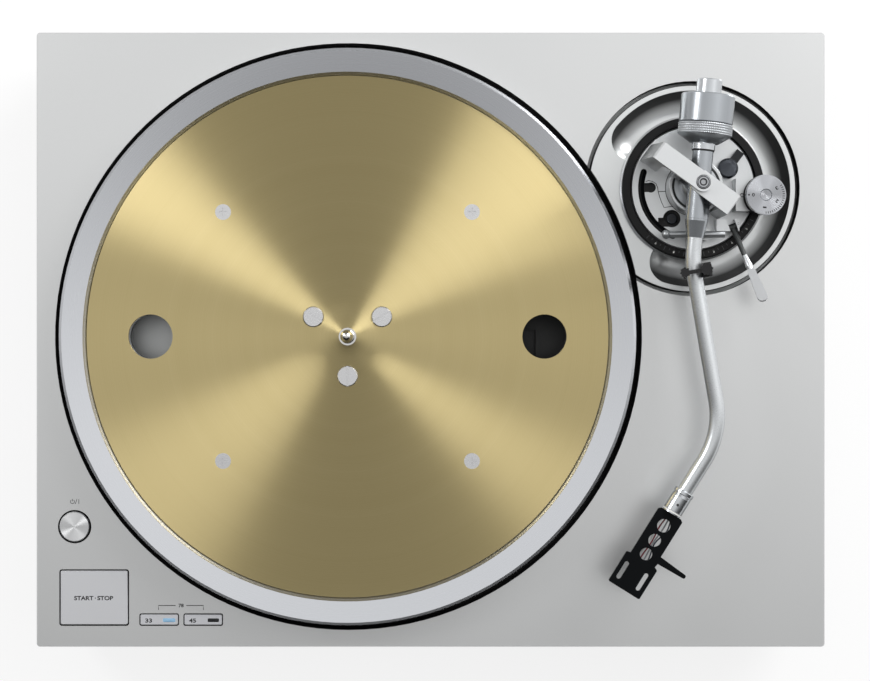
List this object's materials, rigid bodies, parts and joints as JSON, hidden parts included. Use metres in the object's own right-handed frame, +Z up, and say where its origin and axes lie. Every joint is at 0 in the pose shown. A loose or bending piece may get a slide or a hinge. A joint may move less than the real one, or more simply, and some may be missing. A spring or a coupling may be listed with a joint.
{
  "type": "turntable",
  "caption": "Direct-drive record turntable with a brass-faced platter, an S-shaped balanced tonearm, start and speed buttons and levelling feet.",
  "frame": {"origin": "centre of the footprint, on the surface that the feet stand on", "axes": "+X to the player's right, +Y to its back, +Z up"},
  "size_m": [0.453, 0.353, 0.1523],
  "materials": {
    "panel_satin": "satin, fine blasted",
    "board_satin": "satin",
    "cast_silver": "satin casting",
    "base_black": "heavy moulded compound",
    "recess_black": "textured",
    "socket_metal": "gilt",
    "terminal_metal": "knurled",
    "inlet_black": "moulded",
    "board_green": "lacquered laminate",
    "core_steel": "laminated",
    "button_satin": "satin",
    "button_turned": "radially turned",
    "foot_metal": "satin over rubber",
    "platter_polished": "turned and polished",
    "brass_brushed": "circular brushed",
    "damping_rubber": "matt",
    "screw_steel": "turned",
    "shaft_steel": "ground",
    "yoke_iron": "plated",
    "magnet_grey": "sintered",
    "housing_cast": "cast",
    "bush_bronze": "sintered",
    "coil_copper": "enamelled wire",
    "sleeve_metal": "turned",
    "arm_base_silver": "satin",
    "arm_turned": "fine turned",
    "ring_black": "satin",
    "lever_black": "moulded",
    "rest_grey": "painted",
    "gimbal_metal": "satin",
    "tube_silver": "satin anodised",
    "shaft_bright": "bright",
    "dial_knurled": "knurled",
    "dial_silver": "radially turned",
    "cue_silver": "bright",
    "shell_black": "anodised black",
    "lead_colours": "coloured sleeves"
  },
  "bodies": {
    "deck": {"top_panel": "panel_satin", "chassis": "cast_silver", "base_tray": "base_black", "rear_panel": "recess_black", "mains_inlet": "inlet_black", "signal_sockets": "socket_metal", "earth_terminal": "terminal_metal", "control_board": "board_green", "supply_board": "board_green", "transformer": "core_steel", "button_switches": "board_green", "motor_housing": "housing_cast", "bearing_bushes": "bush_bronze", "thrust_cap": "housing_cast", "stator_board": "board_green", "stator_coils": "coil_copper", "well_cover": "recess_black", "arm_board": "board_satin", "height_sleeve": "sleeve_metal"},
    "platter": {"platter_casting": "platter_polished", "brass_plate": "brass_brushed", "platter_rubber": "damping_rubber", "platter_screws": "screw_steel", "rotor_screws": "screw_steel", "spindle_shaft": "shaft_steel", "rotor_yoke": "yoke_iron", "rotor_magnets": "magnet_grey"},
    "power_button": {"power_button": "button_turned"},
    "start_button": {"start_button": "button_satin"},
    "speed_button_33": {"speed_button_33": "button_satin"},
    "speed_button_45": {"speed_button_45": "button_satin"},
    "foot_front_left": {"foot_front_left": "foot_metal"},
    "foot_front_right": {"foot_front_right": "foot_metal"},
    "foot_back_left": {"foot_back_left": "foot_metal"},
    "foot_back_right": {"foot_back_right": "foot_metal"},
    "height_ring": {"height_ring": "ring_black"},
    "arm_base": {"arm_base_plate": "arm_base_silver", "bearing_tower": "arm_turned", "arch_bridge": "arm_base_silver", "pivot_screw": "screw_steel", "antiskate_housing": "arm_base_silver", "cue_housing": "arm_base_silver", "arm_rest": "rest_grey"},
    "lock_lever": {"lock_lever": "lever_black"},
    "antiskate_dial": {"antiskate_dial": "dial_silver"},
    "cue_lever": {"cue_lever": "cue_silver"},
    "lift_bar": {"lift_bar": "cue_silver"},
    "arm_clamp": {"arm_clamp": "lever_black"},
    "gimbal": {"gimbal_ring": "gimbal_metal"},
    "arm": {"arm_sleeve": "arm_turned", "tube_collar": "arm_turned", "rear_shaft": "shaft_bright", "arm_tube": "tube_silver"},
    "weight_insert": {"weight_insert": "shaft_bright"},
    "counterweight": {"counterweight": "arm_turned"},
    "force_dial": {"force_dial": "dial_knurled"},
    "lock_collar": {"lock_collar": "shaft_bright"},
    "headshell": {"headshell": "shell_black", "headshell_plug": "shaft_bright", "lead_wires": "lead_colours"}
  },
  "joints": [
    {"name": "platter_spin", "type": "hinge", "parent": "deck", "child": "platter", "pos_m": [-0.0472, 0.00175, 0.1], "axis": [0, 0, 1], "continuous": true},
    {"name": "power_press", "type": "slide", "parent": "deck", "child": "power_button", "axis": [0, 0, -1], "range_m": [0, 0.0015], "stiffness_N_per_m": 400, "springref_m": -0.0008},
    {"name": "start_press", "type": "slide", "parent": "deck", "child": "start_button", "axis": [0, 0, -1], "range_m": [0, 0.0012], "stiffness_N_per_m": 500, "springref_m": -0.001},
    {"name": "speed_33_press", "type": "slide", "parent": "deck", "child": "speed_button_33", "axis": [0, 0, -1], "range_m": [0, 0.0012], "stiffness_N_per_m": 400, "springref_m": -0.0005},
    {"name": "speed_45_press", "type": "slide", "parent": "deck", "child": "speed_button_45", "axis": [0, 0, -1], "range_m": [0, 0.0012], "stiffness_N_per_m": 400, "springref_m": -0.0005},
    {"name": "level_front_left", "type": "slide", "parent": "deck", "child": "foot_front_left", "axis": [0, 0, -1], "range_m": [0, 0.005]},
    {"name": "level_front_right", "type": "slide", "parent": "deck", "child": "foot_front_right", "axis": [0, 0, -1], "range_m": [0, 0.005]},
    {"name": "level_back_left", "type": "slide", "parent": "deck", "child": "foot_back_left", "axis": [0, 0, -1], "range_m": [0, 0.005]},
    {"name": "level_back_right", "type": "slide", "parent": "deck", "child": "foot_back_right", "axis": [0, 0, -1], "range_m": [0, 0.005]},
    {"name": "arm_height", "type": "slide", "parent": "deck", "child": "arm_base", "axis": [0, 0, 1], "range_m": [0, 0.006]},
    {"name": "height_ring_turn", "type": "hinge", "parent": "deck", "child": "height_ring", "pos_m": [0.1503, 0.0868, 0.1], "axis": [0, 0, 1], "range_deg": [0, 120]},
    {"name": "height_lock", "type": "hinge", "parent": "arm_base", "child": "lock_lever", "pos_m": [0.1695, 0.0976, 0.106], "axis": [0, 0, 1], "range_deg": [0, 60]},
    {"name": "arm_swing", "type": "hinge", "parent": "arm_base", "child": "gimbal", "pos_m": [0.1503, 0.0868, 0.1355], "axis": [0, 0, 1], "range_deg": [-43, 0]},
    {"name": "arm_tilt", "type": "hinge", "parent": "gimbal", "child": "arm", "pos_m": [0.1503, 0.0868, 0.1355], "axis": [-0.808, 0.5892, 0], "range_deg": [-2, 4]},
    {"name": "weight_slide", "type": "slide", "parent": "arm", "child": "weight_insert", "axis": [0.0941, 0.9956, 0], "range_m": [-0.003, 0.006]},
    {"name": "weight_turn", "type": "hinge", "parent": "weight_insert", "child": "counterweight", "pos_m": [0.1503, 0.0868, 0.1355], "axis": [0.0941, 0.9956, 0], "range_deg": [-359, 719]},
    {"name": "force_dial_turn", "type": "hinge", "parent": "counterweight", "child": "force_dial", "pos_m": [0.1503, 0.0868, 0.1355], "axis": [0.0941, 0.9956, 0], "range_deg": [-180, 180]},
    {"name": "lock_collar_turn", "type": "hinge", "parent": "arm", "child": "lock_collar", "pos_m": [0.13844, -0.09, 0.1355], "axis": [-0.5299, -0.848, 0], "range_deg": [0, 180]},
    {"name": "headshell_pull", "type": "slide", "parent": "arm", "child": "headshell", "axis": [-0.5299, -0.848, 0], "range_m": [0, 0.03]},
    {"name": "antiskate_turn", "type": "hinge", "parent": "arm_base", "child": "antiskate_dial", "pos_m": [0.1883, 0.0813, 0.12], "axis": [0, 0, 1], "range_deg": [0, 270]},
    {"name": "cue_lever_turn", "type": "hinge", "parent": "arm_base", "child": "cue_lever", "pos_m": [0.1717, 0.0639, 0.111], "axis": [-0.9415, -0.3371, 0], "range_deg": [0, 50]},
    {"name": "lift_bar_rise", "type": "slide", "parent": "arm_base", "child": "lift_bar", "axis": [0, 0, 1], "range_m": [0, 0.005]},
    {"name": "clamp_turn", "type": "hinge", "parent": "arm_base", "child": "arm_clamp", "pos_m": [0.1542, 0.039, 0.142], "axis": [-0.1633, 0.9866, 0], "range_deg": [0, 90]}
  ],
  "couplings": [
    {"joint": "height_ring_turn", "follows": "arm_height", "rad_per_m": 349},
    {"joint": "weight_slide", "follows": "weight_turn", "m_per_rad": 0.000477},
    {"joint": "cue_lever_turn", "follows": "lift_bar_rise", "rad_per_m": 174.53}
  ]
}
